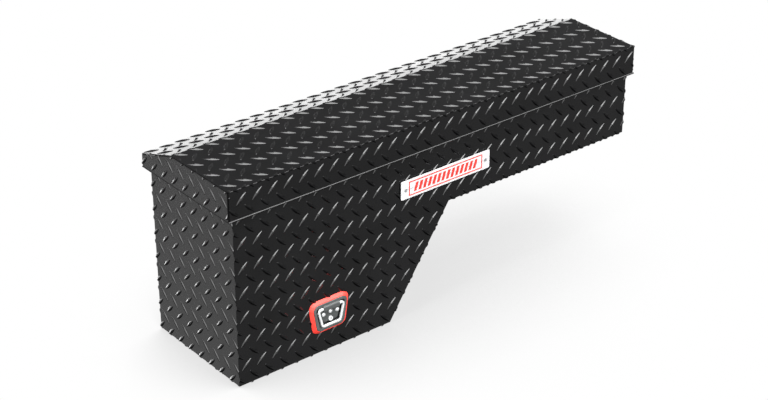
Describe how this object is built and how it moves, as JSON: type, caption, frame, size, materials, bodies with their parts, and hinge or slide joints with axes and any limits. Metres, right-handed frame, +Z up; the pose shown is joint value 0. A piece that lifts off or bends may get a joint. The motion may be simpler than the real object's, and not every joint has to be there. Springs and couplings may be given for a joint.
{
  "type": "truck tool box",
  "caption": "Wheel-well truck tool box in black tread plate: deep section, sloped step, shallow section, bevelled hinged lid, pull-handle lock.",
  "frame": {"origin": "centre of the overall bounding box in plan, at the level of the deep floor's underside", "axes": "+X along the box from the deep section to the shallow end, +Y from the lock side to the hinge side, +Z up"},
  "size_m": [0.9176, 0.2622, 0.3818],
  "materials": {
    "black_tread": "satin black powder coat over aluminium tread plate",
    "black_steel": "black coated steel",
    "seal_rubber": "soft black bulb rubber",
    "badge_white": "gloss white printed aluminium",
    "rivet_metal": "satin blind rivet",
    "red_plastic": "moulded coral red",
    "grey_plastic": "fine grain moulded grey",
    "black_plastic": "moulded black",
    "bright_metal": "polished",
    "chrome_handle": "polished die casting",
    "zinc_steel": "zinc plated",
    "mill_aluminium": "mill finish",
    "white_nylon": "natural nylon",
    "brass_piston": "machined"
  },
  "bodies": {
    "box": {"front_panel": "black_tread", "back_panel": "black_tread", "left_end_panel": "black_tread", "right_end_panel": "black_tread", "floor_strip": "black_tread", "rim_seal": "seal_rubber", "badge_plate": "badge_white", "badge_rivets": "rivet_metal", "lock_bezel": "red_plastic", "lock_frame": "grey_plastic", "lock_pan": "black_plastic", "lock_face_plate": "grey_plastic", "lock_face_screws": "bright_metal", "bezel_nuts": "zinc_steel", "key_barrel": "zinc_steel", "handle_spring": "zinc_steel", "rod_guide": "white_nylon", "latch_bracket": "zinc_steel", "latch_pivot_pin": "zinc_steel", "latch_spring": "zinc_steel", "hinge_body_leaf": "black_steel", "hinge_pin": "bright_metal", "hinge_rivets": "rivet_metal", "stay_low_bracket": "zinc_steel", "stay_low_stud": "zinc_steel"},
    "handle": {"pull_handle": "chrome_handle"},
    "key": {"key_plug": "bright_metal", "key_cam": "zinc_steel"},
    "rod": {"latch_rod": "zinc_steel", "rod_link": "zinc_steel"},
    "hook": {"latch_hook": "zinc_steel", "hook_pin": "bright_metal"},
    "stay_cylinder": {"stay_tube": "black_steel", "stay_guide": "black_plastic", "stay_low_socket": "black_plastic"},
    "stay_plunger": {"stay_rod": "bright_metal", "stay_piston": "brass_piston", "stay_high_socket": "black_plastic", "stay_high_stud": "zinc_steel"},
    "lid": {"lid_skin": "black_tread", "lid_back_flange": "black_tread", "lid_left_cap": "black_tread", "lid_right_cap": "black_tread", "lid_stiffener": "mill_aluminium", "striker_plate": "zinc_steel", "striker_bar": "zinc_steel", "hinge_lid_leaf": "black_steel", "stay_high_bracket": "zinc_steel"}
  },
  "joints": [
    {"name": "lid_hinge", "type": "hinge", "parent": "box", "child": "lid", "pos_m": [0, 0.1257, 0.3398], "axis": [-1, 0, 0], "range_deg": [0, 75]},
    {"name": "handle_pull", "type": "hinge", "parent": "box", "child": "handle", "pos_m": [-0.255, -0.1265, 0.091], "axis": [-1, 0, 0], "range_deg": [0, 25], "stiffness_Nm_per_rad": 0.3},
    {"name": "key_turn", "type": "hinge", "parent": "box", "child": "key", "pos_m": [-0.255, -0.1233, 0.0668], "axis": [0, -1, 0], "range_deg": [0, 90]},
    {"name": "rod_slide", "type": "slide", "parent": "box", "child": "rod", "axis": [0, 0, -1], "range_m": [0, 0.01]},
    {"name": "hook_turn", "type": "hinge", "parent": "box", "child": "hook", "pos_m": [-0.25, -0.0963, 0.3264], "axis": [-1, 0, 0], "range_deg": [0, 25]},
    {"name": "stay_swing", "type": "hinge", "parent": "box", "child": "stay_cylinder", "pos_m": [-0.4072, 0.0951, 0.2038], "axis": [-1, 0, 0], "range_deg": [0, 7.75]},
    {"name": "stay_extend", "type": "slide", "parent": "stay_cylinder", "child": "stay_plunger", "axis": [0, -0.0898, 0.996], "range_m": [0, 0.05118]}
  ],
  "couplings": [
    {"joint": "rod_slide", "follows": "handle_pull", "m_per_rad": 0.02},
    {"joint": "stay_swing", "follows": "lid_hinge", "ratio": 0.096618},
    {"joint": "stay_extend", "follows": "lid_hinge", "m_per_rad": 0.038334}
  ]
}
